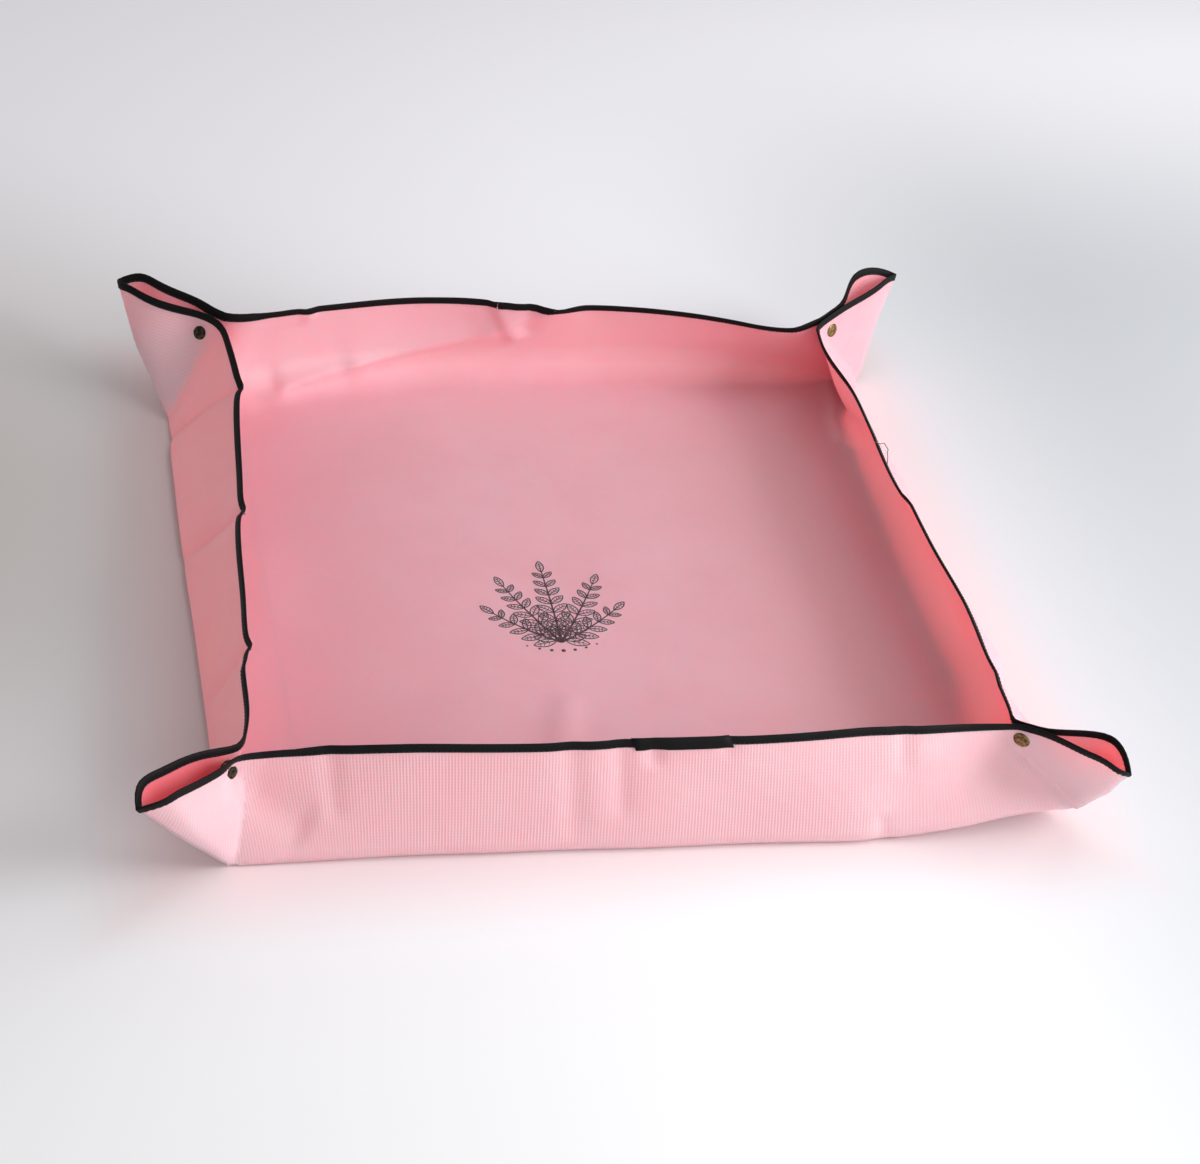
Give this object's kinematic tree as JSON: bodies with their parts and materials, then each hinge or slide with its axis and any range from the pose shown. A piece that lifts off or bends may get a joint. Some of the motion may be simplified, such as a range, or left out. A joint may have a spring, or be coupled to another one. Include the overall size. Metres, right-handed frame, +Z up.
{
  "type": "repotting mat",
  "caption": "Square coated potting sheet whose corners pinch and snap together to raise its sides into a tray, and which unfolds again.",
  "frame": {"origin": "centre of the tray's floor, on the underside that rests on the table", "axes": "+Z up, front wall toward -Y, right wall toward +X"},
  "size_m": [0.6792, 0.6792, 0.089],
  "materials": {
    "coated_canvas": "matte",
    "binding_tape": "matte",
    "antique_brass": "antiqued",
    "spring_wire": "bright"
  },
  "bodies": {
    "floor": {"floor_panel": "coated_canvas"},
    "front_wall": {"front_wall_panel": "coated_canvas", "front_wall_binding": "binding_tape"},
    "right_wall": {"right_wall_panel": "coated_canvas", "right_wall_binding": "binding_tape"},
    "back_wall": {"back_wall_panel": "coated_canvas", "back_wall_binding": "binding_tape"},
    "left_wall": {"left_wall_panel": "coated_canvas", "left_wall_binding": "binding_tape"},
    "front_left_ear_front_half": {"front_left_ear_front_side": "coated_canvas", "front_left_binding_front_side": "binding_tape", "front_left_snap_stud": "antique_brass", "front_left_snap_post": "antique_brass"},
    "front_right_ear_front_half": {"front_right_ear_front_side": "coated_canvas", "front_right_binding_front_side": "binding_tape", "front_right_snap_cap": "antique_brass", "front_right_snap_socket": "antique_brass", "front_right_snap_spring": "spring_wire"},
    "front_right_ear_right_half": {"front_right_ear_right_side": "coated_canvas", "front_right_binding_right_side": "binding_tape", "front_right_snap_stud": "antique_brass", "front_right_snap_post": "antique_brass"},
    "back_right_ear_right_half": {"back_right_ear_right_side": "coated_canvas", "back_right_binding_right_side": "binding_tape", "back_right_snap_cap": "antique_brass", "back_right_snap_socket": "antique_brass", "back_right_snap_spring": "spring_wire"},
    "back_right_ear_back_half": {"back_right_ear_back_side": "coated_canvas", "back_right_binding_back_side": "binding_tape", "back_right_snap_stud": "antique_brass", "back_right_snap_post": "antique_brass"},
    "back_left_ear_back_half": {"back_left_ear_back_side": "coated_canvas", "back_left_binding_back_side": "binding_tape", "back_left_snap_cap": "antique_brass", "back_left_snap_socket": "antique_brass", "back_left_snap_spring": "spring_wire"},
    "back_left_ear_left_half": {"back_left_ear_left_side": "coated_canvas", "back_left_binding_left_side": "binding_tape", "back_left_snap_stud": "antique_brass", "back_left_snap_post": "antique_brass"},
    "front_left_ear_left_half": {"front_left_ear_left_side": "coated_canvas", "front_left_binding_left_side": "binding_tape", "front_left_snap_cap": "antique_brass", "front_left_snap_socket": "antique_brass", "front_left_snap_spring": "spring_wire"}
  },
  "joints": [
    {"name": "front_wall_fold", "type": "hinge", "parent": "floor", "child": "front_wall", "pos_m": [0, -0.29415, 0.0008], "axis": [1, 0, 0], "range_deg": [0, 75]},
    {"name": "right_wall_fold", "type": "hinge", "parent": "floor", "child": "right_wall", "pos_m": [0.29415, 0, 0.0008], "axis": [0, 1, 0], "range_deg": [0, 75]},
    {"name": "back_wall_fold", "type": "hinge", "parent": "floor", "child": "back_wall", "pos_m": [0, 0.29415, 0.0008], "axis": [-1, 0, 0], "range_deg": [0, 75]},
    {"name": "left_wall_fold", "type": "hinge", "parent": "floor", "child": "left_wall", "pos_m": [-0.29415, 0, 0.0008], "axis": [0, -1, 0], "range_deg": [0, 75]},
    {"name": "front_left_front_ear_fold", "type": "hinge", "parent": "front_wall", "child": "front_left_ear_front_half", "pos_m": [-0.29087, -0.2949, 0.00108], "axis": [-0.3259, -0.3259, -0.8875], "range_deg": [0, 33]},
    {"name": "front_right_front_ear_fold", "type": "hinge", "parent": "front_wall", "child": "front_right_ear_front_half", "pos_m": [0.29087, -0.2949, 0.00108], "axis": [-0.3259, 0.3259, 0.8875], "range_deg": [0, 33]},
    {"name": "front_right_right_ear_fold", "type": "hinge", "parent": "right_wall", "child": "front_right_ear_right_half", "pos_m": [0.2949, -0.29087, 0.00108], "axis": [0.3259, -0.3259, -0.8875], "range_deg": [0, 33]},
    {"name": "back_right_right_ear_fold", "type": "hinge", "parent": "right_wall", "child": "back_right_ear_right_half", "pos_m": [0.2949, 0.29087, 0.00108], "axis": [-0.3259, -0.3259, 0.8875], "range_deg": [0, 33]},
    {"name": "back_right_back_ear_fold", "type": "hinge", "parent": "back_wall", "child": "back_right_ear_back_half", "pos_m": [0.29087, 0.2949, 0.00108], "axis": [0.3259, 0.3259, -0.8875], "range_deg": [0, 33]},
    {"name": "back_left_back_ear_fold", "type": "hinge", "parent": "back_wall", "child": "back_left_ear_back_half", "pos_m": [-0.29087, 0.2949, 0.00108], "axis": [0.3259, -0.3259, 0.8875], "range_deg": [0, 33]},
    {"name": "back_left_left_ear_fold", "type": "hinge", "parent": "left_wall", "child": "back_left_ear_left_half", "pos_m": [-0.2949, 0.29087, 0.00108], "axis": [-0.3259, 0.3259, -0.8875], "range_deg": [0, 33]},
    {"name": "front_left_left_ear_fold", "type": "hinge", "parent": "left_wall", "child": "front_left_ear_left_half", "pos_m": [-0.2949, -0.29087, 0.00108], "axis": [0.3259, 0.3259, 0.8875], "range_deg": [0, 33]}
  ],
  "couplings": [
    {"joint": "right_wall_fold", "follows": "front_wall_fold", "ratio": 1},
    {"joint": "back_wall_fold", "follows": "front_wall_fold", "ratio": 1},
    {"joint": "left_wall_fold", "follows": "front_wall_fold", "ratio": 1},
    {"joint": "front_left_front_ear_fold", "follows": "front_wall_fold", "ratio": 0.43945},
    {"joint": "front_right_front_ear_fold", "follows": "front_wall_fold", "ratio": 0.43945},
    {"joint": "front_right_right_ear_fold", "follows": "front_wall_fold", "ratio": 0.43945},
    {"joint": "back_right_right_ear_fold", "follows": "front_wall_fold", "ratio": 0.43945},
    {"joint": "back_right_back_ear_fold", "follows": "front_wall_fold", "ratio": 0.43945},
    {"joint": "back_left_back_ear_fold", "follows": "front_wall_fold", "ratio": 0.43945},
    {"joint": "back_left_left_ear_fold", "follows": "front_wall_fold", "ratio": 0.43945},
    {"joint": "front_left_left_ear_fold", "follows": "front_wall_fold", "ratio": 0.43945}
  ]
}
